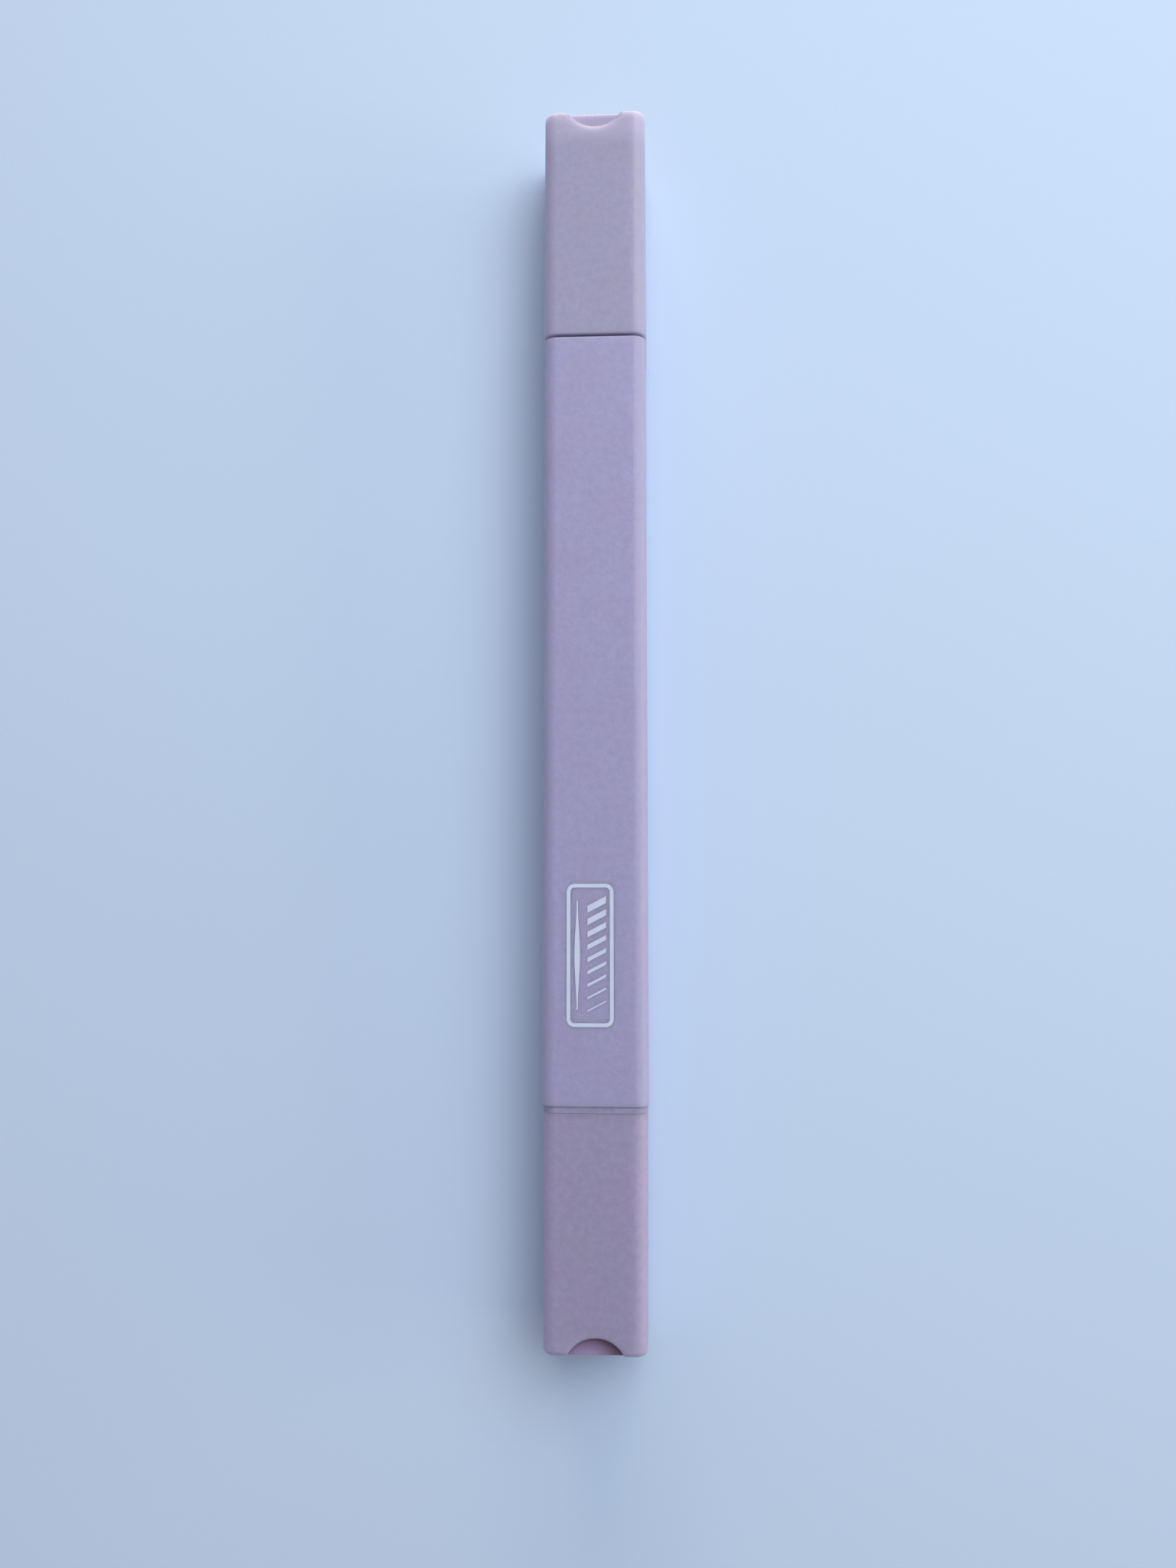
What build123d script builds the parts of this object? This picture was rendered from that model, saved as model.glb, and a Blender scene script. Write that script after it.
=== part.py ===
from build123d import *
from math import atan2, degrees
import os

# Double-ended calligraphy marker, lying on its back with both caps on.
# The long axis runs along Y, with the chisel nib towards +Y and the bullet nib towards -Y.
# The printed face looks up, +Z. The origin is on the resting surface, below the middle of the length.
# Lengths are in millimetres. "Out" is the distance from the middle of the length towards either end.

# Driving dimensions
LENGTH = 144.2
BARREL_WIDTH = 12.0
CORNER_RADIUS = 1.5
CHISEL_CAP_LENGTH = 27.75
BULLET_CAP_LENGTH = 26.22
CHISEL_SEAM_GAP = 0.27
FLANGE_LENGTH = 0.68
FLANGE_WIDTH = 11.78
CHISEL_BARREL_EDGE_RADIUS = 0.3
BULLET_BARREL_EDGE_RADIUS = 0.12

# Each cap tapers from its mouth to its closed end, and its cavity is straight
CHISEL_CAP_MOUTH_WIDTH = 12.14
CHISEL_CAP_END_WIDTH = 12.02
CHISEL_CAVITY_WIDTH = 10.4
BULLET_CAP_MOUTH_WIDTH = 11.82
BULLET_CAP_END_WIDTH = 11.62
BULLET_CAVITY_WIDTH = 10.1
MOUTH_EDGE_RADIUS = 0.1
CAP_END_RADIUS = 0.6
CAVITY_CORNER_RADIUS = 0.9
NOTCH_RADIUS = 3.6
NOTCH_DEPTH = 1.98
NOTCH_EDGE_RADIUS = 0.25

# Grip ribs inside each cap run on the square neck of the nib section
GRIP_RIB_WIDTH = 0.8
GRIP_RIB_SPACING = 5.0
GRIP_RIB_START = 1.0
GRIP_RIB_LENGTH = 6.0

# Fits, and how far a rib is rooted in its wall
RUNNING_CLEARANCE = 0.05
ASSEMBLY_CLEARANCE = 0.02
RIB_ROOT = 0.12

# Barrel bore and the ribs that centre the ink reservoir
BORE_WIDTH = 9.9
BORE_CORNER_RADIUS = 0.8
CENTRING_RIB_WIDTH = 0.8
PLUG_LENGTH = 8.0
PLUG_CHAMFER = 0.3

# Ink reservoir and its film wrap
RESERVOIR_DIAMETER = 8.2
FILM_THICKNESS = 0.15
FILM_SETBACK = 1.0
RESERVOIR_SOCKET_DEPTH = 2.0
NIB_INSERTION = 3.0

# Nib sections: square neck, round seal land, tapered nose
CHISEL_NECK_WIDTH = 9.8
CHISEL_NECK_LENGTH = 7.25
CHISEL_NOSE_LENGTH = 6.0
CHISEL_NOSE_TIP_DIAMETER = 6.8
BULLET_NECK_WIDTH = 9.6
BULLET_NECK_LENGTH = 6.3
BULLET_NOSE_LENGTH = 7.2
BULLET_NOSE_TIP_DIAMETER = 4.6
NECK_CORNER_RADIUS = 0.8
NECK_END_CHAMFER = 0.45
SEAL_DIAMETER = 7.9
SEAL_LENGTH = 2.5
NOSE_SHOULDER_RADIUS = 3.0
NOSE_EDGE_RADIUS = 0.35
CHAMBER_DIAMETER = 6.4
NIB_GRIP_LENGTH = 4.2
VENT_WIDTH = 1.0
VENT_DEPTH = 0.45

# Nibs
CHISEL_NIB_WIDTH = 5.0
CHISEL_NIB_THICKNESS = 2.8
CHISEL_NIB_EXPOSED = 6.5
CHISEL_NIB_CORNER_RADIUS = 0.4
CHISEL_EDGE_THICKNESS = 0.5
CHISEL_BEVEL_LENGTH = 3.6
CHISEL_SLANT_RISE = 1.7
BULLET_NIB_DIAMETER = 2.6
BULLET_NIB_EXPOSED = 4.5
BULLET_TIP_RADIUS = 0.55
BULLET_CONE_LENGTH = 2.6
BULLET_SHOULDER_RADIUS = 1.2

# Inner caps: a square end plug with a skirt, a post, and a round cup that seals on the nose
END_PLATE_THICKNESS = 1.4
SKIRT_LENGTH = 4.6
SKIRT_THICKNESS = 1.0
POST_DIAMETER = 5.0
CUP_OUTER_DIAMETER = 9.4
CUP_FLOOR_THICKNESS = 1.0
CUP_TIP_GAP = 2.0
CUP_EDGE_CHAMFER = 0.3
PLATE_EDGE_RADIUS = 0.15

# Derived stations, all measured out from the middle of the length
CAP_END = LENGTH / 2
CHISEL_MOUTH = CAP_END - CHISEL_CAP_LENGTH
CHISEL_BARREL_END = CHISEL_MOUTH - CHISEL_SEAM_GAP
BULLET_MOUTH = CAP_END - BULLET_CAP_LENGTH
BULLET_BARREL_END = BULLET_MOUTH - RUNNING_CLEARANCE - FLANGE_LENGTH
CHISEL_SHOULDER = CHISEL_BARREL_END + CHISEL_NECK_LENGTH
BULLET_SHOULDER = BULLET_BARREL_END + FLANGE_LENGTH + BULLET_NECK_LENGTH
CHISEL_NOSE_TIP = CHISEL_SHOULDER + CHISEL_NOSE_LENGTH
BULLET_NOSE_TIP = BULLET_SHOULDER + BULLET_NOSE_LENGTH
CHISEL_NIB_TIP = CHISEL_NOSE_TIP + CHISEL_NIB_EXPOSED
BULLET_NIB_TIP = BULLET_NOSE_TIP + BULLET_NIB_EXPOSED

# The chisel cap's mouth is the widest part, so it touches the resting surface
AXIS_HEIGHT = CHISEL_CAP_MOUTH_WIDTH / 2
PEN_AXIS = Axis((0, 0, AXIS_HEIGHT), (0, 1, 0))
CHISEL = 1
BULLET = -1

os.makedirs("parts", exist_ok=True)


def across(end, out):
    """The plane square to the pen's axis at a distance out towards one end, facing that end."""
    return Plane(origin=(0, end * out, AXIS_HEIGHT), x_dir=(1, 0, 0), z_dir=(0, end, 0))


def lengthwise(end):
    """The upright plane through the pen's axis: its x runs out towards one end, its y runs up."""
    return Plane(origin=(0, 0, AXIS_HEIGHT), x_dir=(0, end, 0), z_dir=(end, 0, 0))


def outward(end):
    """The pen's axis, pointing out towards one end."""
    return Axis((0, 0, AXIS_HEIGHT), (0, end, 0))


def rounded_square(width, radius):
    """A square sketch with rounded corners."""
    RectangleRounded(width, width, radius)


def reservoir_end(end):
    """The reservoir's end towards one end of the pen, just clear of its socket's floor."""
    barrel_end = CHISEL_BARREL_END if end == CHISEL else BULLET_BARREL_END
    return barrel_end - PLUG_LENGTH + RESERVOIR_SOCKET_DEPTH - 2 * RUNNING_CLEARANCE


# Barrel: a square tube with four centring ribs along the middle of its bore
with BuildPart() as barrel:
    with BuildSketch(across(BULLET, BULLET_BARREL_END)):
        rounded_square(BARREL_WIDTH, CORNER_RADIUS)
    extrude(amount=-(BULLET_BARREL_END + CHISEL_BARREL_END))
    fillet(barrel.faces().sort_by(Axis.Y)[-1].edges(), radius=CHISEL_BARREL_EDGE_RADIUS)
    fillet(barrel.faces().sort_by(Axis.Y)[0].edges(), radius=BULLET_BARREL_EDGE_RADIUS)
    with BuildSketch(across(BULLET, BULLET_BARREL_END)):
        rounded_square(BORE_WIDTH, BORE_CORNER_RADIUS)
    extrude(amount=-(BULLET_BARREL_END + CHISEL_BARREL_END), mode=Mode.SUBTRACT)
    rib_start = BULLET_BARREL_END - PLUG_LENGTH - RUNNING_CLEARANCE
    rib_length = rib_start + CHISEL_BARREL_END - PLUG_LENGTH - RUNNING_CLEARANCE
    rib_tip = RESERVOIR_DIAMETER / 2 + FILM_THICKNESS + RUNNING_CLEARANCE
    rib_height = BORE_WIDTH / 2 - rib_tip + RIB_ROOT
    with BuildSketch(across(BULLET, rib_start)):
        with PolarLocations(rib_tip + rib_height / 2, 4):
            Rectangle(rib_height, CENTRING_RIB_WIDTH)
    extrude(amount=-rib_length)
barrel.part.label = "barrel"
export_step(barrel.part, "parts/barrel.step")


def nib_section(name, end, barrel_end, flange_length, neck_width, shoulder, nose_tip, nose_tip_diameter, bore):
    """A nib holder: press plug, optional flange, square neck, seal land and nose, hollow right through."""
    with BuildPart() as section:
        with BuildSketch(across(end, barrel_end - PLUG_LENGTH)):
            rounded_square(BORE_WIDTH - 2 * ASSEMBLY_CLEARANCE, BORE_CORNER_RADIUS)
        extrude(amount=PLUG_LENGTH)
        chamfer(section.faces().sort_by(outward(end))[0].edges(), length=PLUG_CHAMFER)
        with BuildSketch(across(end, barrel_end)):
            rounded_square(neck_width, NECK_CORNER_RADIUS)
        extrude(amount=shoulder - barrel_end)
        chamfer(section.faces().sort_by(outward(end))[-1].edges(), length=NECK_END_CHAMFER)
        if flange_length:
            with BuildSketch(across(end, barrel_end)):
                rounded_square(FLANGE_WIDTH, CORNER_RADIUS)
            extrude(amount=flange_length)
        seal_end = shoulder + SEAL_LENGTH
        tip_radius = nose_tip_diameter / 2
        with BuildSketch(lengthwise(end)):
            with BuildLine():
                Polyline(
                    (shoulder, 0),
                    (shoulder, SEAL_DIAMETER / 2),
                    (seal_end, SEAL_DIAMETER / 2),
                    (nose_tip, tip_radius),
                    (nose_tip, 0),
                    close=True,
                )
            make_face()
            fillet(vertices().group_by(Axis.Y)[-1].sort_by(Axis.X)[-1], radius=NOSE_SHOULDER_RADIUS)
        revolve(axis=PEN_AXIS)
        fillet(section.faces().sort_by(outward(end))[-1].edges(), radius=NOSE_EDGE_RADIUS)
        with BuildSketch(across(end, barrel_end - PLUG_LENGTH)):
            Circle(RESERVOIR_DIAMETER / 2 + FILM_THICKNESS + RUNNING_CLEARANCE)
        extrude(amount=RESERVOIR_SOCKET_DEPTH, mode=Mode.SUBTRACT)
        with BuildSketch(across(end, barrel_end - PLUG_LENGTH)):
            Circle(CHAMBER_DIAMETER / 2)
        extrude(amount=nose_tip - NIB_GRIP_LENGTH - barrel_end + PLUG_LENGTH, mode=Mode.SUBTRACT)
        with BuildSketch(across(end, nose_tip - NIB_GRIP_LENGTH)):
            bore()
        extrude(amount=NIB_GRIP_LENGTH, mode=Mode.SUBTRACT)
    section.part.label = name
    export_step(section.part, f"parts/{name}.step")


def chisel_bore():
    """The chisel nib's slot, with an air vent in the middle of each wide side."""
    clear = 2 * ASSEMBLY_CLEARANCE
    Rectangle(CHISEL_NIB_WIDTH + clear, CHISEL_NIB_THICKNESS + clear)
    Rectangle(VENT_WIDTH, CHISEL_NIB_THICKNESS + 2 * VENT_DEPTH)


def bullet_bore():
    """The bullet nib's round hole, with an air vent on two sides."""
    Circle(BULLET_NIB_DIAMETER / 2 + ASSEMBLY_CLEARANCE)
    Rectangle(VENT_WIDTH / 2, BULLET_NIB_DIAMETER + 2 * VENT_DEPTH)


nib_section(
    "chisel_section",
    CHISEL,
    CHISEL_BARREL_END,
    0,
    CHISEL_NECK_WIDTH,
    CHISEL_SHOULDER,
    CHISEL_NOSE_TIP,
    CHISEL_NOSE_TIP_DIAMETER,
    chisel_bore,
)
nib_section(
    "bullet_section",
    BULLET,
    BULLET_BARREL_END,
    FLANGE_LENGTH,
    BULLET_NECK_WIDTH,
    BULLET_SHOULDER,
    BULLET_NOSE_TIP,
    BULLET_NOSE_TIP_DIAMETER,
    bullet_bore,
)


# Chisel nib: a flat felt bar, bevelled on both wide sides to an edge that is cut at a slant
with BuildPart() as chisel_nib:
    tail = reservoir_end(CHISEL) - NIB_INSERTION
    with BuildSketch(across(CHISEL, tail)):
        RectangleRounded(CHISEL_NIB_WIDTH, CHISEL_NIB_THICKNESS, CHISEL_NIB_CORNER_RADIUS)
    extrude(amount=CHISEL_NIB_TIP - tail)
    bevel_start = CHISEL_NIB_TIP - CHISEL_BEVEL_LENGTH
    bevel_drop = (CHISEL_NIB_THICKNESS - CHISEL_EDGE_THICKNESS) / 2
    with BuildSketch(lengthwise(CHISEL)):
        with BuildLine():
            Polyline(
                (bevel_start, CHISEL_NIB_THICKNESS / 2),
                (CHISEL_NIB_TIP, CHISEL_NIB_THICKNESS / 2 - bevel_drop),
                (CHISEL_NIB_TIP, CHISEL_NIB_THICKNESS),
                (bevel_start, CHISEL_NIB_THICKNESS),
                close=True,
            )
        make_face()
        mirror(about=Plane.XZ)
    extrude(amount=CHISEL_NIB_WIDTH, both=True, mode=Mode.SUBTRACT)
    with BuildSketch(Plane.XY.offset(AXIS_HEIGHT)):
        with BuildLine():
            Polyline(
                (-CHISEL_NIB_WIDTH / 2, CHISEL_NIB_TIP),
                (CHISEL_NIB_WIDTH / 2, CHISEL_NIB_TIP - CHISEL_SLANT_RISE),
                (CHISEL_NIB_WIDTH / 2, CHISEL_NIB_TIP),
                close=True,
            )
        make_face()
    extrude(amount=CHISEL_NIB_THICKNESS, both=True, mode=Mode.SUBTRACT)
chisel_nib.part.label = "chisel_nib"
export_step(chisel_nib.part, "parts/chisel_nib.step")


# Bullet nib: a round felt rod with a blunt conical tip
with BuildPart() as bullet_nib:
    tail = reservoir_end(BULLET) - NIB_INSERTION
    radius = BULLET_NIB_DIAMETER / 2
    with BuildSketch(lengthwise(BULLET)):
        with BuildLine():
            Polyline(
                (tail, 0),
                (tail, radius),
                (BULLET_NIB_TIP - BULLET_CONE_LENGTH, radius),
                (BULLET_NIB_TIP, BULLET_TIP_RADIUS),
                (BULLET_NIB_TIP, 0),
                close=True,
            )
        make_face()
        fillet(vertices().sort_by_distance((BULLET_NIB_TIP, BULLET_TIP_RADIUS))[0], radius=BULLET_TIP_RADIUS)
        fillet(vertices().group_by(Axis.Y)[-1].sort_by(Axis.X)[-1], radius=BULLET_SHOULDER_RADIUS)
    revolve(axis=PEN_AXIS)
bullet_nib.part.label = "bullet_nib"
export_step(bullet_nib.part, "parts/bullet_nib.step")


# Ink reservoir: a fibre rod that both nibs are pushed into
with BuildPart() as ink_reservoir:
    reservoir_length = reservoir_end(CHISEL) + reservoir_end(BULLET)
    with BuildSketch(across(CHISEL, -reservoir_end(BULLET))):
        Circle(RESERVOIR_DIAMETER / 2)
    extrude(amount=reservoir_length)
    with BuildSketch(across(CHISEL, reservoir_end(CHISEL))):
        RectangleRounded(CHISEL_NIB_WIDTH, CHISEL_NIB_THICKNESS, CHISEL_NIB_CORNER_RADIUS)
    extrude(amount=-NIB_INSERTION, mode=Mode.SUBTRACT)
    with BuildSketch(across(BULLET, reservoir_end(BULLET))):
        Circle(BULLET_NIB_DIAMETER / 2)
    extrude(amount=-NIB_INSERTION, mode=Mode.SUBTRACT)
ink_reservoir.part.label = "ink_reservoir"
export_step(ink_reservoir.part, "parts/ink_reservoir.step")


# Reservoir sleeve: the thin film wrapped round the fibre rod, a little shorter than it
with BuildPart() as reservoir_sleeve:
    sleeve_length = reservoir_length - 2 * FILM_SETBACK
    with BuildSketch(across(CHISEL, FILM_SETBACK - reservoir_end(BULLET))):
        Circle(RESERVOIR_DIAMETER / 2 + FILM_THICKNESS)
        Circle(RESERVOIR_DIAMETER / 2, mode=Mode.SUBTRACT)
    extrude(amount=sleeve_length)
reservoir_sleeve.part.label = "reservoir_sleeve"
export_step(reservoir_sleeve.part, "parts/reservoir_sleeve.step")


def cap_shell(name, end, mouth, mouth_width, end_width, cavity_width, neck_width):
    """A square cap tube, open at both ends, notched in both broad faces at its closed end."""
    length = CAP_END - mouth
    draft_angle = degrees(atan2((mouth_width - end_width) / 2, length))
    with BuildPart() as shell:
        with BuildSketch(across(end, mouth)):
            rounded_square(mouth_width, CORNER_RADIUS)
        extrude(amount=length, taper=draft_angle)
        fillet(shell.faces().sort_by(outward(end))[0].edges(), radius=MOUTH_EDGE_RADIUS)
        fillet(shell.faces().sort_by(outward(end))[-1].edges(), radius=CAP_END_RADIUS)
        with BuildSketch(Plane.XY.offset(AXIS_HEIGHT)):
            with Locations((0, end * (CAP_END + NOTCH_RADIUS - NOTCH_DEPTH))):
                Circle(NOTCH_RADIUS)
        extrude(amount=mouth_width, both=True, mode=Mode.SUBTRACT)
        with BuildSketch(across(end, mouth)):
            rounded_square(cavity_width, CAVITY_CORNER_RADIUS)
        extrude(amount=length, mode=Mode.SUBTRACT)
        rib_tip = neck_width / 2 + RUNNING_CLEARANCE
        rib_height = cavity_width / 2 - rib_tip + RIB_ROOT
        with BuildSketch(across(end, mouth + GRIP_RIB_START)):
            with PolarLocations(rib_tip + rib_height / 2, 4):
                with GridLocations(0, GRIP_RIB_SPACING, 1, 2):
                    Rectangle(rib_height, GRIP_RIB_WIDTH)
        extrude(amount=GRIP_RIB_LENGTH)
        for face_height in (0, 2 * AXIS_HEIGHT):
            notch_middle = (0, end * (CAP_END - NOTCH_DEPTH), face_height)
            fillet(shell.edges().sort_by_distance(notch_middle)[0], radius=NOTCH_EDGE_RADIUS)
    shell.part.label = name
    export_step(shell.part, f"parts/{name}.step")


cap_shell(
    "chisel_cap_shell",
    CHISEL,
    CHISEL_MOUTH,
    CHISEL_CAP_MOUTH_WIDTH,
    CHISEL_CAP_END_WIDTH,
    CHISEL_CAVITY_WIDTH,
    CHISEL_NECK_WIDTH,
)
cap_shell(
    "bullet_cap_shell",
    BULLET,
    BULLET_MOUTH,
    BULLET_CAP_MOUTH_WIDTH,
    BULLET_CAP_END_WIDTH,
    BULLET_CAVITY_WIDTH,
    BULLET_NECK_WIDTH,
)


def inner_cap(name, end, shoulder, nib_tip, cavity_width):
    """The plug that closes a cap's end, carrying a round cup that seals on the nose of the section."""
    plate_back = CAP_END - END_PLATE_THICKNESS
    skirt_width = cavity_width - 2 * ASSEMBLY_CLEARANCE
    cup_mouth = shoulder + RUNNING_CLEARANCE
    cup_floor = nib_tip + CUP_TIP_GAP
    with BuildPart() as inner:
        with BuildSketch(across(end, CAP_END)):
            rounded_square(skirt_width, CAVITY_CORNER_RADIUS)
        extrude(amount=-SKIRT_LENGTH)
        fillet(inner.faces().sort_by(outward(end))[-1].edges(), radius=PLATE_EDGE_RADIUS)
        with BuildSketch(across(end, plate_back)):
            rounded_square(skirt_width - 2 * SKIRT_THICKNESS, CAVITY_CORNER_RADIUS)
        extrude(amount=END_PLATE_THICKNESS - SKIRT_LENGTH, mode=Mode.SUBTRACT)
        with BuildSketch(across(end, cup_floor)):
            Circle(POST_DIAMETER / 2)
        extrude(amount=plate_back - cup_floor)
        with BuildSketch(across(end, cup_mouth)):
            Circle(CUP_OUTER_DIAMETER / 2)
            Circle(SEAL_DIAMETER / 2 + RUNNING_CLEARANCE, mode=Mode.SUBTRACT)
        extrude(amount=cup_floor - cup_mouth)
        chamfer(inner.faces().sort_by(outward(end))[0].edges(), length=CUP_EDGE_CHAMFER)
        with BuildSketch(across(end, cup_floor)):
            Circle(CUP_OUTER_DIAMETER / 2)
        extrude(amount=CUP_FLOOR_THICKNESS)
    inner.part.label = name
    export_step(inner.part, f"parts/{name}.step")


inner_cap("chisel_inner_cap", CHISEL, CHISEL_SHOULDER, CHISEL_NIB_TIP, CHISEL_CAVITY_WIDTH)
inner_cap("bullet_inner_cap", BULLET, BULLET_SHOULDER, BULLET_NIB_TIP, BULLET_CAVITY_WIDTH)
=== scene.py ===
import math

import bmesh
import bpy
from mathutils import Matrix, Vector


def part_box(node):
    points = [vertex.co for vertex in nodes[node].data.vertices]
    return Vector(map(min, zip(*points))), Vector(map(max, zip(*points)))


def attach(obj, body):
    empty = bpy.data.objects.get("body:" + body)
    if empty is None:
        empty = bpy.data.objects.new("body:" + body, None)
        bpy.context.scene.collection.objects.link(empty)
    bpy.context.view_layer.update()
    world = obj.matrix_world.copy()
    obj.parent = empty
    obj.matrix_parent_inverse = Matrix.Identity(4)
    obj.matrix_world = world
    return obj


# The looks of a double-ended calligraphy marker, in metres: mauve moulded plastic, felt nibs, a printed mark
# on the barrel, a pale floor, soft light from the right and the far end, and a camera above the marker.

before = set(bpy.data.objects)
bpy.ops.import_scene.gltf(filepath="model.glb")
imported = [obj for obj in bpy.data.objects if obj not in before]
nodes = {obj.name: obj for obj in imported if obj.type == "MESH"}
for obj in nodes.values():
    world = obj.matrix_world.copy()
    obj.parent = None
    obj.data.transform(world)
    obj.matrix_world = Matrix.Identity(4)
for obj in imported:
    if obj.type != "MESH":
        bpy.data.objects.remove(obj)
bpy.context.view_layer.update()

MM = 0.001
barrel_low, barrel_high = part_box("barrel")
AXIS_HEIGHT = (barrel_low.z + barrel_high.z) / 2
HALF_WIDTH = (barrel_high.x - barrel_low.x) / 2

# A point is on a long rounded corner where its distances sideways and up from the axis add up to this
CORNER_CUT = 0.9 * MM
CORNER_REACH = 2 * HALF_WIDTH - CORNER_CUT
CORNER_FADE = 0.5 * MM

# The notch in each cap's end is part of a circle: its middle along the marker, its radius and its rounded rim
NOTCH_SET_BACK = 1.62 * MM
CHISEL_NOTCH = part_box("chisel_cap_shell")[1].y + NOTCH_SET_BACK
BULLET_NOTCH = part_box("bullet_cap_shell")[0].y - NOTCH_SET_BACK
NOTCH_RADIUS = 3.6 * MM
RIM_WIDTH = 0.22 * MM
RIM_FADE = 0.15 * MM

# A painted shadow beside the rim of the bullet cap's notch lies on top of the plug, more of it towards +X
SHADOW_REACH = 1.9 * MM
SHADOW_SHIFT = 0.9 * MM
SHADOW_DEPTH = 0.3 * MM
SHADOW_COVER = 0.85
PLUG_TOP_MARGIN = 0.02 * MM
BULLET_PLUG_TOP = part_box("bullet_inner_cap")[1].z - PLUG_TOP_MARGIN

# Where along the marker the painted light at the chisel cap's closed end starts and is at its palest
PAINTED_LIGHT_START = CHISEL_NOTCH - 6.0 * MM
PAINTED_LIGHT_FULL = CHISEL_NOTCH - 4.0 * MM

# Camera: where it stands, how far it leans from straight down, and its lens
CAMERA_PLACE = Vector((6.2, -21.2, 150.9)) * MM
LEAN_TO_CHISEL_END = math.radians(5.04)
LEAN_TO_LEFT = math.radians(2.88)
LENS = 28.1
SENSOR = 36.0

# Colours, as they look on a screen
UPPER_CAP = (0.665, 0.648, 0.802)
BARREL = (0.665, 0.657, 0.817)
LOWER_CAP = (0.673, 0.629, 0.791)
BLUSH = (0.660, 0.634, 0.775)
NIB_INK = (0.36, 0.29, 0.52)
FIBRE = (0.47, 0.40, 0.64)
FILM = (0.86, 0.86, 0.92)
PRINT_INK = (0.80, 0.84, 0.94)
FLOOR = (0.775, 0.861, 0.959)

# How the colours of worn corners, the painted light at the chisel cap's end, the plugs and the nib sections
# differ from the plastic round them. The rim's cast is painted shade that only tones down the highlight on
# it.
CORNER_CAST = (0.99, 0.99, 0.945)
END_PAINTED_LIGHT_CAST = (1.075, 1.055, 1.05)
RIM_PAINTED_SHADE = (0.86, 0.87, 0.90)
# Painted light: the chisel cap's plug, at the end where the light from that end falls, is paler than the
# bullet cap's
CHISEL_PLUG_PAINTED_LIGHT_CAST = (1.05, 1.06, 1.0)
BULLET_PLUG_CAST = (1.0, 0.98, 0.98)
BULLET_SECTION_CAST = (0.925, 0.965, 0.935)
CHISEL_SECTION_CAST = (1.02, 0.98, 0.96)
# Painted shadow of the rim in the bullet cap's notch, reddish brown
NOTCH_PAINTED_SHADOW = (0.41, 0.30, 0.355)

# How far light travels below the surface of each plastic
CAP_GLOW = 6.0 * MM
BARREL_GLOW = 3.0 * MM
CHISEL_PLUG_GLOW = 2.0 * MM
SECTION_GLOW = 1.0 * MM
BULLET_PLUG_GLOW = 0.6 * MM

# Scales of the plastic's textures, from the broadest to the finest
SINKS = 120
CLOUDS = 190
GLOSS_CLOUDS = 260
WEAR = 900
GRAIN = 1250
PITS = 3200


def linear(colour, scale=1.0):
    """A screen colour as the linear RGBA that shaders take, its brightness multiplied by scale."""
    channels = (c / 12.92 if c < 0.04045 else ((c + 0.055) / 1.055) ** 2.4 for c in colour)
    return (*(min(1.0, scale * c) for c in channels), 1.0)


def mixed(colour, cast):
    """A colour multiplied by another, channel by channel."""
    return tuple(a * b for a, b in zip(colour, cast))


# ---------------------------------------------------------------- node helpers


class Graph:
    """A material's node tree, with short ways of adding what every material here needs."""

    def __init__(self, name, **shader):
        self.material = bpy.data.materials.new(name)
        self.material.use_nodes = True
        self.tree = self.material.node_tree
        self.shader = self.tree.nodes["Principled BSDF"]
        for socket, value in shader.items():
            self.shader.inputs[socket.replace("_", " ")].default_value = value
        self.place = self.add("ShaderNodeTexCoord").outputs["Object"]

    def add(self, kind, **settings):
        node = self.tree.nodes.new(kind)
        for name, value in settings.items():
            setattr(node, name, value)
        return node

    def put(self, socket, value):
        if isinstance(value, bpy.types.NodeSocket):
            self.tree.links.new(value, socket)
        else:
            socket.default_value = value

    def along(self, axis):
        """The object coordinate along X, Y or Z."""
        split = self.add("ShaderNodeSeparateXYZ")
        self.put(split.inputs["Vector"], self.place)
        return split.outputs[axis]

    def stretched(self, scale):
        """Object coordinates scaled by a triple: a small number stretches a pattern along that axis."""
        mapping = self.add("ShaderNodeMapping")
        self.put(mapping.inputs["Vector"], self.place)
        self.put(mapping.inputs["Scale"], scale)
        return mapping.outputs["Vector"]

    def noise(self, scale, detail=2.0, roughness=0.5, vector=None):
        node = self.add("ShaderNodeTexNoise")
        self.put(node.inputs["Vector"], vector or self.place)
        self.put(node.inputs["Scale"], scale)
        self.put(node.inputs["Detail"], detail)
        self.put(node.inputs["Roughness"], roughness)
        return node.outputs["Fac"]

    def remap(self, value, low, high, to_low, to_high):
        node = self.add("ShaderNodeMapRange")
        for name, number in (
            ("From Min", low),
            ("From Max", high),
            ("To Min", to_low),
            ("To Max", to_high),
        ):
            self.put(node.inputs[name], number)
        self.put(node.inputs["Value"], value)
        return node.outputs["Result"]

    def math(self, operation, first, second=0.0):
        node = self.add("ShaderNodeMath", operation=operation)
        self.put(node.inputs[0], first)
        self.put(node.inputs[1], second)
        return node.outputs["Value"]

    def mix(self, factor, first, second):
        node = self.add("ShaderNodeMix", data_type="RGBA")
        self.put(node.inputs["Factor"], factor)
        self.put(node.inputs["A"], first)
        self.put(node.inputs["B"], second)
        return node.outputs["Result"]

    def bump(self, height, distance, strength=1.0, below=None):
        node = self.add("ShaderNodeBump")
        self.put(node.inputs["Height"], height)
        self.put(node.inputs["Distance"], distance)
        self.put(node.inputs["Strength"], strength)
        if below:
            self.put(node.inputs["Normal"], below)
        return node.outputs["Normal"]


# ---------------------------------------------------------------- materials


def corner_mask(g):
    """One along the marker's four long rounded corners, fading to nothing on its flat faces."""
    sideways = g.math("ABSOLUTE", g.along("X"))
    upward = g.math("ABSOLUTE", g.math("SUBTRACT", g.along("Z"), AXIS_HEIGHT))
    reach = g.math("ADD", sideways, upward)
    return g.remap(reach, CORNER_REACH - CORNER_FADE, CORNER_REACH, 0.0, 1.0)


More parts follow.
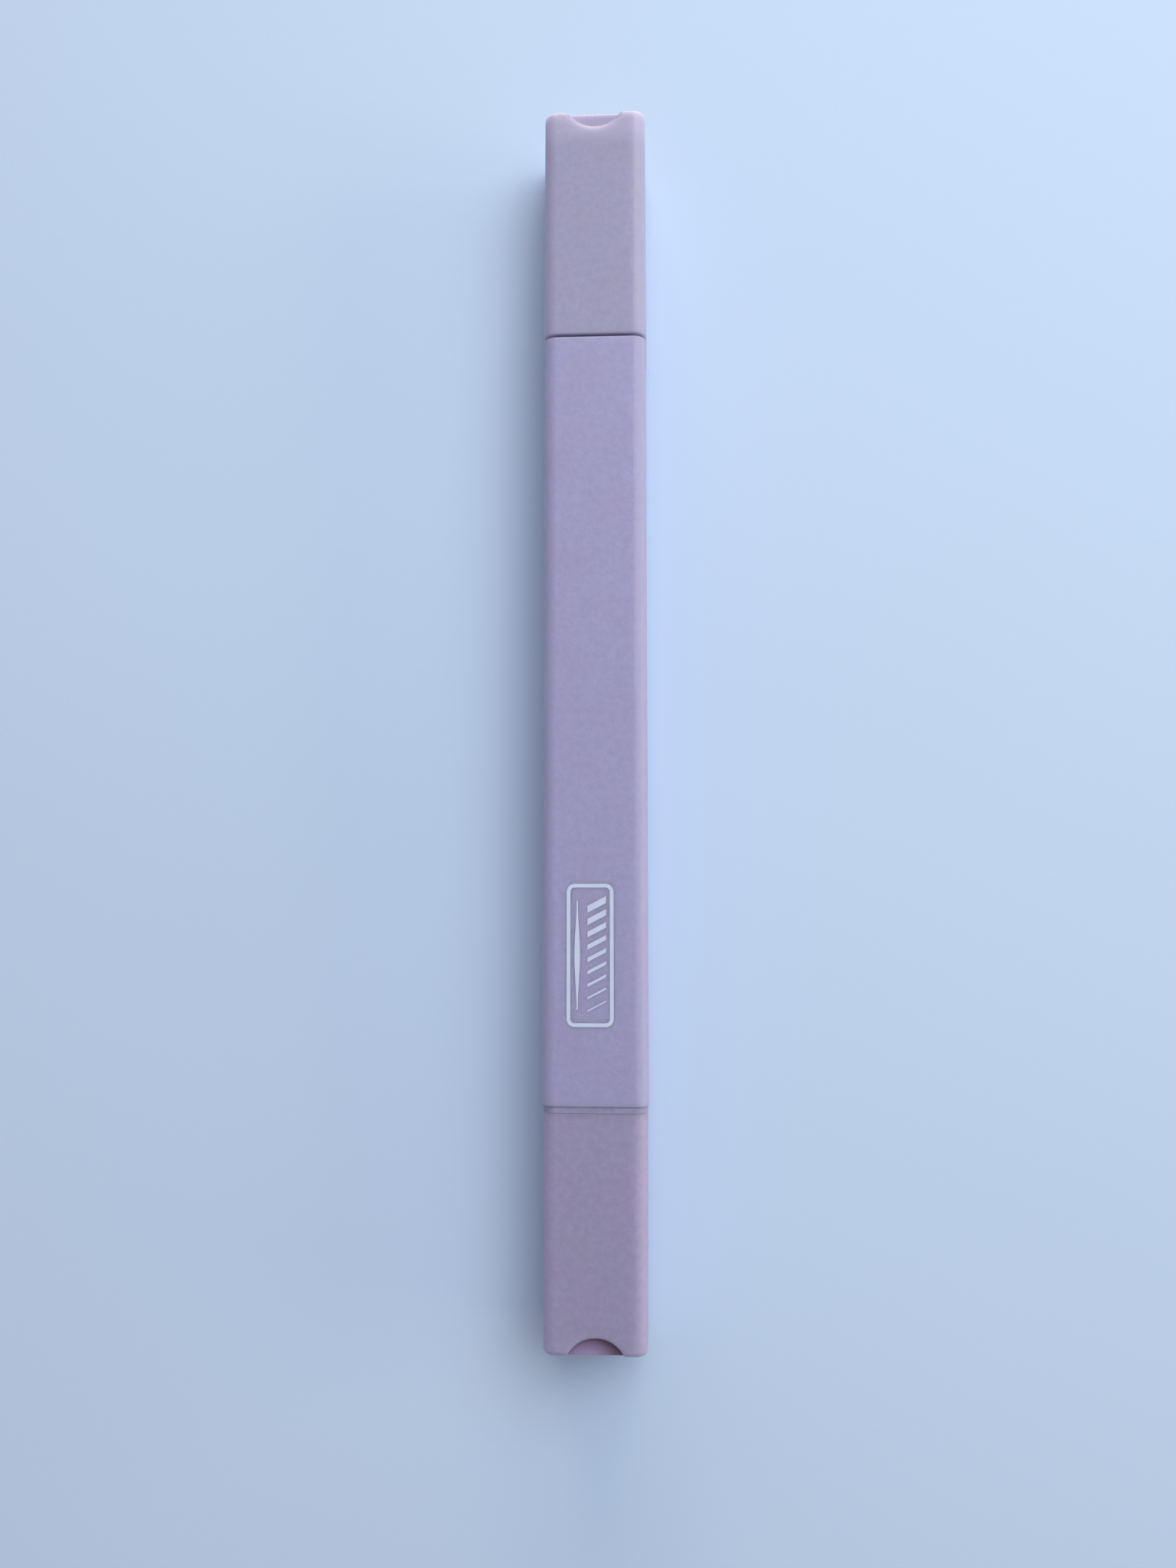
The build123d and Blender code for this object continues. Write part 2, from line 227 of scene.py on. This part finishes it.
def notch_distance(g, middle, shift=0.0):
    """How far a point lies, seen from above, from the middle of the circle that a notch is part of."""
    sideways = g.math("ADD", g.along("X"), shift)
    endways = g.math("SUBTRACT", g.along("Y"), middle)
    squares = g.math("ADD", g.math("MULTIPLY", sideways, sideways), g.math("MULTIPLY", endways, endways))
    return g.math("SQRT", squares)


def painted_shadow_mask(g):
    """One where the shadow of the bullet cap's notch rim is painted, fading away from the rim and below the
    plug's top.
    """
    on_top = g.remap(g.along("Z"), BULLET_PLUG_TOP - SHADOW_DEPTH, BULLET_PLUG_TOP, 0.0, 1.0)
    distance = notch_distance(g, BULLET_NOTCH, SHADOW_SHIFT)
    return g.math("MULTIPLY", on_top, g.remap(distance, NOTCH_RADIUS - SHADOW_REACH, NOTCH_RADIUS, 0.0, 1.0))


def rim_mask(g):
    """One on the rounded rim of the chisel cap's notch, where painted shade dulls the highlight, fading to
    nothing on the face round it.
    """
    rim = NOTCH_RADIUS + RIM_WIDTH
    return g.remap(notch_distance(g, CHISEL_NOTCH), rim, rim + RIM_FADE, 1.0, 0.0)


def painted_light_mask(g):
    """One at the chisel cap's closed end, where light is painted, fading to nothing along the marker."""
    return g.remap(g.along("Y"), PAINTED_LIGHT_START, PAINTED_LIGHT_FULL, 0.0, 1.0)


def moulded_plastic(name, colour, glow, painted_shadow=False, painted_light_end=False):
    """Matte moulded plastic: cloudy colour, fine grain, rub marks along the marker, corners worn smooth.

    One option paints the shadow of the bullet cap's notch rim onto its plug. Another paints light on the
    chisel cap, paler towards its closed end, with painted shade dulling the highlight on its notch's rim.
    """
    g = Graph(name, Subsurface_Weight=0.9, Subsurface_Scale=glow, Specular_IOR_Level=0.42)
    g.shader.inputs["Subsurface Radius"].default_value = (1.0, 0.8, 0.75)
    clouds = g.remap(g.noise(CLOUDS, 3), 0.3, 0.7, 0.0, 0.95)
    tinted = g.mix(clouds, linear(colour), linear(BLUSH))
    grain = g.noise(GRAIN, 3, 0.6)
    grained = g.mix(g.remap(grain, 0.35, 0.65, 0.0, 0.7), tinted, linear(colour, 0.87))
    rubs = g.noise(1.0, 4, 0.65, g.stretched((2600, 90, 2600)))
    rubbed = g.remap(rubs, 0.62, 0.72, 0.0, 0.10)
    wear = g.remap(g.noise(WEAR, 4, 0.7), 0.42, 0.62, 0.6, 1.0)
    worn = g.math("MULTIPLY", corner_mask(g), wear)
    handled = g.mix(worn, grained, linear(mixed(colour, CORNER_CAST)))
    # Painted light: the chisel cap paler towards its closed end; painted shade over the highlight on its
    # notch's rim
    if painted_light_end:
        handled = g.mix(painted_light_mask(g), handled, linear(mixed(colour, END_PAINTED_LIGHT_CAST)))
        handled = g.mix(rim_mask(g), handled, linear(mixed(colour, RIM_PAINTED_SHADE)))
    painted = g.mix(rubbed, handled, linear(colour, 1.25))
    # Painted shadow: the notch's rim shades the bullet cap's plug, more towards +X
    if painted_shadow:
        painted = g.mix(g.math("MULTIPLY", painted_shadow_mask(g), SHADOW_COVER), painted, linear(NOTCH_PAINTED_SHADOW))
    g.put(g.shader.inputs["Base Color"], painted)
    rough = g.remap(g.noise(GLOSS_CLOUDS, 3), 0.3, 0.7, 0.48, 0.58)
    smoother = g.math("MULTIPLY", worn, 0.10)
    g.put(g.shader.inputs["Roughness"], g.math("SUBTRACT", g.math("SUBTRACT", rough, rubbed), smoother))
    pits = g.bump(g.noise(PITS, 2, 0.6), 0.04 * MM, 0.7)
    grained_normal = g.bump(grain, 0.02 * MM, 0.6, pits)
    g.put(g.shader.inputs["Normal"], g.bump(g.noise(SINKS, 1), 0.10 * MM, 0.45, grained_normal))
    return g.material


def felt(name, colour):
    """Dense felt, its fibres drawn along the marker, soaked with ink."""
    g = Graph(name, Sheen_Weight=0.35, Sheen_Roughness=0.5, Specular_IOR_Level=0.25)
    fibres = g.noise(1.0, 5, 0.6, g.stretched((9000, 900, 9000)))
    pooled = g.noise(380, 3)
    base = g.mix(g.remap(pooled, 0.3, 0.7, 0.0, 1.0), linear(colour, 0.75), linear(colour, 1.2))
    combed = g.mix(g.remap(fibres, 0.35, 0.65, 0.0, 0.6), base, linear(colour, 1.8))
    g.put(g.shader.inputs["Base Color"], combed)
    g.put(g.shader.inputs["Roughness"], g.remap(pooled, 0.3, 0.7, 0.62, 0.9))
    g.put(g.shader.inputs["Normal"], g.bump(fibres, 0.06 * MM, 0.8))
    return g.material


def clear_film(name):
    """Thin translucent film with faint lengthwise creases."""
    g = Graph(name, Alpha=0.45, Specular_IOR_Level=0.6, Coat_Weight=0.3)
    creases = g.noise(1.0, 3, 0.5, g.stretched((1800, 60, 1800)))
    g.put(g.shader.inputs["Base Color"], g.mix(creases, linear(FILM, 0.9), linear(FILM, 1.05)))
    g.put(g.shader.inputs["Roughness"], g.remap(creases, 0.3, 0.7, 0.12, 0.3))
    g.put(g.shader.inputs["Normal"], g.bump(creases, 0.04 * MM, 0.5))
    return g.material


def printing_ink(name):
    """Pale screen-printed ink, thin in specks so that the plastic shows through."""
    g = Graph(name, Specular_IOR_Level=0.4)
    thin = g.remap(g.noise(5200, 3, 0.6), 0.60, 0.72, 0.0, 0.45)
    patchy = g.mix(g.noise(500, 2), linear(PRINT_INK, 0.93), linear(PRINT_INK, 1.05))
    g.put(g.shader.inputs["Base Color"], g.mix(thin, patchy, linear(BARREL)))
    g.put(g.shader.inputs["Roughness"], g.remap(g.noise(900, 2), 0.3, 0.7, 0.42, 0.56))
    g.put(g.shader.inputs["Normal"], g.bump(g.noise(4200, 2), 0.02 * MM, 0.4))
    return g.material


def floor_paper(name):
    """Plain pale floor with a barely visible tooth."""
    g = Graph(name, Specular_IOR_Level=0.2)
    cloud = g.noise(14, 2)
    g.put(g.shader.inputs["Base Color"], g.mix(cloud, linear(FLOOR, 0.985), linear(FLOOR, 1.01)))
    g.put(g.shader.inputs["Roughness"], g.remap(cloud, 0.3, 0.7, 0.75, 0.85))
    g.put(g.shader.inputs["Normal"], g.bump(g.noise(900, 2), 0.04 * MM, 0.25))
    return g.material


def dress(node_name, material):
    """Gives a carried-over CAD node its material."""
    piece = nodes[node_name]
    piece.data.materials.clear()
    piece.data.materials.append(material)


nib_felt = felt("nib_felt", NIB_INK)
fibre = felt("reservoir_fibre", FIBRE)

for node_name, name, colour, glow, marks in (
    ("barrel", "barrel_plastic", BARREL, BARREL_GLOW, {}),
    ("chisel_cap_shell", "chisel_cap_plastic", UPPER_CAP, CAP_GLOW, {"painted_light_end": True}),
    ("bullet_cap_shell", "bullet_cap_plastic", LOWER_CAP, CAP_GLOW, {}),
    ("chisel_section", "chisel_section_plastic", mixed(UPPER_CAP, CHISEL_SECTION_CAST), SECTION_GLOW, {}),
    ("bullet_section", "bullet_section_plastic", mixed(LOWER_CAP, BULLET_SECTION_CAST), SECTION_GLOW, {}),
    ("chisel_inner_cap", "chisel_plug_plastic", mixed(UPPER_CAP, CHISEL_PLUG_PAINTED_LIGHT_CAST), CHISEL_PLUG_GLOW, {}),
    (
        "bullet_inner_cap",
        "bullet_plug_plastic",
        mixed(LOWER_CAP, BULLET_PLUG_CAST),
        BULLET_PLUG_GLOW,
        {"painted_shadow": True},
    ),
):
    dress(node_name, moulded_plastic(name, colour, glow, **marks))
dress("chisel_nib", nib_felt)
dress("bullet_nib", nib_felt)
dress("ink_reservoir", fibre)
dress("reservoir_sleeve", clear_film("clear_film"))


# ---------------------------------------------------------------- printed mark

# A closed rounded frame round a column of slanted strokes and a swelled rule, near the barrel's bullet end
PRINT_MIDDLE = Vector((-0.55, -28.3)) * MM
PRINT_WIDTH = 5.3 * MM
PRINT_LENGTH = 16.0 * MM
PRINT_LINE = 0.42 * MM
PRINT_CORNER = 0.9 * MM
PRINT_THICKNESS = 0.02 * MM
PRINT_SINK = 0.01 * MM


def outline_loop(width, length, corner, steps=8):
    """Points round a rectangle with rounded corners, centred on the printed mark."""
    points = []
    for quarter, (sx, sy) in enumerate(((1, 1), (-1, 1), (-1, -1), (1, -1))):
        middle = Vector((sx * (width / 2 - corner), sy * (length / 2 - corner)))
        for step in range(steps + 1):
            angle = math.pi / 2 * (quarter + step / steps)
            points.append(PRINT_MIDDLE + middle + corner * Vector((math.cos(angle), math.sin(angle))))
    return points


def strip(left, right, closed=False):
    """Quads between two rows of points, raised to the thickness of a film of ink on the printed face."""
    mesh = bmesh.new()
    top = barrel_high.z + PRINT_THICKNESS
    bottom = barrel_high.z - PRINT_SINK
    sides = [(side, z) for side in (left, right) for z in (top, bottom)]
    rows = [[mesh.verts.new((p.x, p.y, z)) for p in side] for side, z in sides]
    left_top, left_bottom, right_top, right_bottom = rows
    count = len(left)
    for i in range(count if closed else count - 1):
        j = (i + 1) % count
        mesh.faces.new((left_top[i], left_top[j], right_top[j], right_top[i]))
        mesh.faces.new((left_bottom[i], left_bottom[j], left_top[j], left_top[i]))
        mesh.faces.new((right_top[i], right_top[j], right_bottom[j], right_bottom[i]))
        mesh.faces.new((right_bottom[i], right_bottom[j], left_bottom[j], left_bottom[i]))
    if not closed:
        for i in (0, count - 1):
            mesh.faces.new((left_top[i], right_top[i], right_bottom[i], left_bottom[i]))
    bmesh.ops.recalc_face_normals(mesh, faces=mesh.faces)
    return mesh


def printed(name, mesh):
    data = bpy.data.meshes.new(name)
    mesh.to_mesh(data)
    mesh.free()
    piece = bpy.data.objects.new(name, data)
    bpy.context.scene.collection.objects.link(piece)
    data.materials.append(mark_ink)
    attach(piece, "barrel")
    return piece


mark_ink = printing_ink("printing_ink")

printed(
    "mark_frame",
    strip(
        outline_loop(PRINT_WIDTH, PRINT_LENGTH, PRINT_CORNER),
        outline_loop(PRINT_WIDTH - 2 * PRINT_LINE, PRINT_LENGTH - 2 * PRINT_LINE, PRINT_CORNER - PRINT_LINE),
        closed=True,
    ),
)

# Slanted strokes from thick to thin, their ends cut along the marker
STROKE_COUNT = 9
STROKE_PITCH = 1.42 * MM
STROKE_COLUMN = 0.75 * MM
STROKE_REACH = 1.05 * MM
STROKE_RISE = 0.55 * MM
THICKEST_STROKE = 0.78 * MM
THINNEST_STROKE = 0.16 * MM

# A rule that swells from a hairline to its full width and back
RULE_COLUMN = -1.45 * MM
RULE_LENGTH = 12.2 * MM
RULE_WIDTH = 0.62 * MM
RULE_HAIRLINE = 0.14 * MM
RULE_STEPS = 48


def slanted_stroke(number):
    share = number / (STROKE_COUNT - 1)
    half = (THICKEST_STROKE + share * (THINNEST_STROKE - THICKEST_STROKE)) / 2
    middle = PRINT_MIDDLE + Vector((STROKE_COLUMN, STROKE_PITCH * ((STROKE_COUNT - 1) / 2 - number)))
    tail = middle - Vector((STROKE_REACH, STROKE_RISE))
    head = middle + Vector((STROKE_REACH, STROKE_RISE))
    up = Vector((0, half))
    return strip((tail + up, head + up), (tail - up, head - up))


def swelled_rule():
    left = []
    right = []
    for step in range(RULE_STEPS + 1):
        share = step / RULE_STEPS
        place = PRINT_MIDDLE + Vector((RULE_COLUMN, RULE_LENGTH * (share - 0.5)))
        half = (RULE_HAIRLINE + (RULE_WIDTH - RULE_HAIRLINE) * math.sin(math.pi * share) ** 2) / 2
        left.append(place - Vector((half, 0)))
        right.append(place + Vector((half, 0)))
    return strip(left, right)


for number in range(STROKE_COUNT):
    printed(f"mark_stroke_{number + 1}", slanted_stroke(number))
printed("mark_rule", swelled_rule())


# ---------------------------------------------------------------- floor, light, camera

FLOOR_SIZE = 3.0


def floor():
    mesh = bmesh.new()
    bmesh.ops.create_grid(mesh, x_segments=1, y_segments=1, size=FLOOR_SIZE / 2)
    data = bpy.data.meshes.new("floor")
    mesh.to_mesh(data)
    mesh.free()
    data.materials.append(floor_paper("floor_paper"))
    piece = bpy.data.objects.new("floor", data)
    bpy.context.scene.collection.objects.link(piece)


def soft_light(name, place, size, power, colour):
    """A square soft light that faces the marker."""
    data = bpy.data.lights.new(name, "AREA")
    data.shape = "SQUARE"
    data.size = size
    data.energy = power
    data.color = colour
    lamp = bpy.data.objects.new(name, data)
    lamp.location = place
    lamp.rotation_euler = (Vector((0, 0, AXIS_HEIGHT)) - Vector(place)).to_track_quat("-Z", "Y").to_euler()
    bpy.context.scene.collection.objects.link(lamp)


def sky(strength, colour):
    world = bpy.data.worlds.new("studio")
    world.use_nodes = True
    background = world.node_tree.nodes["Background"]
    background.inputs["Color"].default_value = (*colour, 1.0)
    background.inputs["Strength"].default_value = strength
    bpy.context.scene.world = world


def camera():
    data = bpy.data.cameras.new("camera")
    data.lens = LENS
    data.sensor_width = SENSOR
    data.clip_start = 0.01
    data.clip_end = 20
    view = Vector((-math.tan(LEAN_TO_LEFT), math.tan(LEAN_TO_CHISEL_END), -1)).normalized()
    right = view.cross(Vector((0, 1, 0))).normalized()
    up = right.cross(view)
    piece = bpy.data.objects.new("camera", data)
    piece.matrix_world = Matrix.Translation(CAMERA_PLACE) @ Matrix((right, up, -view)).transposed().to_4x4()
    bpy.context.scene.collection.objects.link(piece)
    bpy.context.scene.camera = piece


floor()
soft_light("key", place=(0.193, 0.239, 0.46), size=0.45, power=2.4, colour=(0.91, 0.965, 0.99))
soft_light("side_window", place=(2.0, 0.0, 0.25), size=1.2, power=17.5, colour=(1.0, 0.92, 0.61))
soft_light("end_window", place=(0.0, 2.0, 0.25), size=1.2, power=34.0, colour=(1.05, 0.88, 0.60))
sky(strength=0.235, colour=(1.02, 0.945, 1.15))
camera()
bpy.context.scene.view_settings.view_transform = "Standard"
